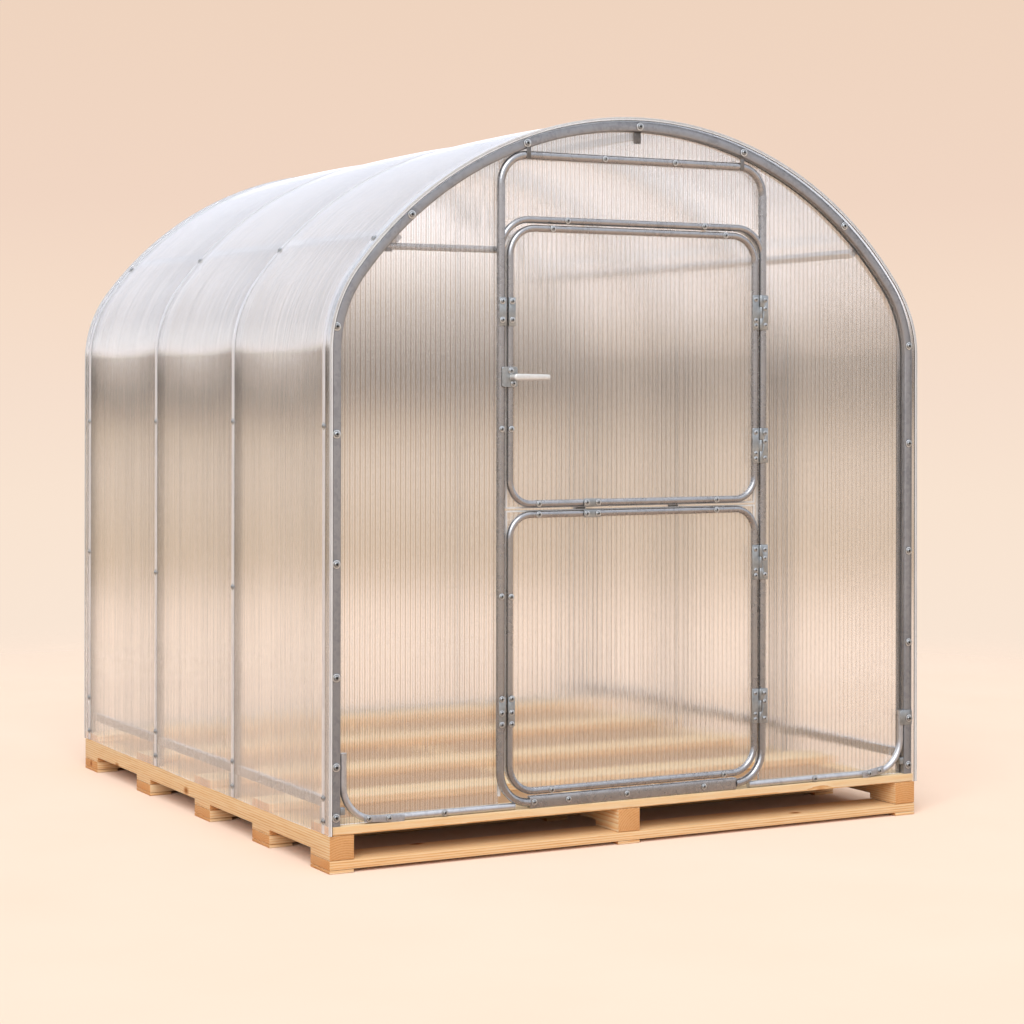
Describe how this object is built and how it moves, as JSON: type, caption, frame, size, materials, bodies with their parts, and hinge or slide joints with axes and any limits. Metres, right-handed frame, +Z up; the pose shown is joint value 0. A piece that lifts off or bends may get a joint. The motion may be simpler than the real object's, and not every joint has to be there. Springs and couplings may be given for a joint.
{
  "type": "tunnel greenhouse",
  "caption": "Small walk-in tunnel greenhouse: arched steel tube frame with twin-wall sheets, a two-leaf stable door and a timber pallet base.",
  "frame": {"origin": "centre of the timber base at ground level", "axes": "+Z up, -Y out of the front gable with the door, +X to the right of someone who faces the door"},
  "size_m": [2.024, 2.145, 2.1398],
  "materials": {
    "pine": "planed, unpainted",
    "hardboard": "brown hardboard",
    "galvanised_tube": "galvanised",
    "twin_wall_sheet": "clear, with ribs",
    "strip_metal": "pale, satin",
    "zinc_plate": "zinc plated",
    "lever_metal": "satin"
  },
  "bodies": {
    "frame": {"foot_pads": "pine", "bottom_boards": "pine", "stringer_left": "pine", "stringer_middle": "pine", "stringer_right": "pine", "deck_underlay": "hardboard", "deck_boards": "pine", "hoop_1": "galvanised_tube", "hoop_2": "galvanised_tube", "hoop_3": "galvanised_tube", "hoop_4": "galvanised_tube", "gable_arch_front": "galvanised_tube", "gable_arch_rear": "galvanised_tube", "cover_sheet": "twin_wall_sheet", "cover_strips": "strip_metal", "side_rail_left": "galvanised_tube", "side_rail_right": "galvanised_tube", "ridge_purlin": "galvanised_tube", "purlin_left": "galvanised_tube", "purlin_right": "galvanised_tube", "gable_tie": "galvanised_tube", "foot_plates": "zinc_plate", "base_rail_front": "galvanised_tube", "base_rail_rear": "galvanised_tube", "corner_plates": "zinc_plate", "rear_posts": "galvanised_tube", "door_frame": "galvanised_tube", "door_header": "galvanised_tube", "door_sill": "galvanised_tube", "front_panel_left": "twin_wall_sheet", "front_panel_right": "twin_wall_sheet", "front_panel_top": "twin_wall_sheet", "rear_panel": "twin_wall_sheet", "hinges_frame": "zinc_plate", "frame_catches": "zinc_plate"},
    "upper_leaf": {"upper_leaf_frame": "galvanised_tube", "upper_leaf_sheet": "twin_wall_sheet", "hinges_upper": "zinc_plate", "upper_leaf_plates": "zinc_plate"},
    "lower_leaf": {"lower_leaf_frame": "galvanised_tube", "lower_leaf_sheet": "twin_wall_sheet", "hinges_lower": "zinc_plate", "lower_leaf_plates": "zinc_plate"},
    "lever": {"lever_handle": "lever_metal"}
  },
  "joints": [
    {"name": "upper_leaf_hinge", "type": "hinge", "parent": "frame", "child": "upper_leaf", "pos_m": [0.4175, -1.059, 1.372], "axis": [0, 0, 1], "range_deg": [0, 110]},
    {"name": "lower_leaf_hinge", "type": "hinge", "parent": "frame", "child": "lower_leaf", "pos_m": [0.4175, -1.059, 0.599], "axis": [0, 0, 1], "range_deg": [0, 110]},
    {"name": "lever_turn", "type": "hinge", "parent": "upper_leaf", "child": "lever", "pos_m": [-0.44, -1.058, 1.372], "axis": [0, 1, 0], "range_deg": [0, 40]}
  ]
}
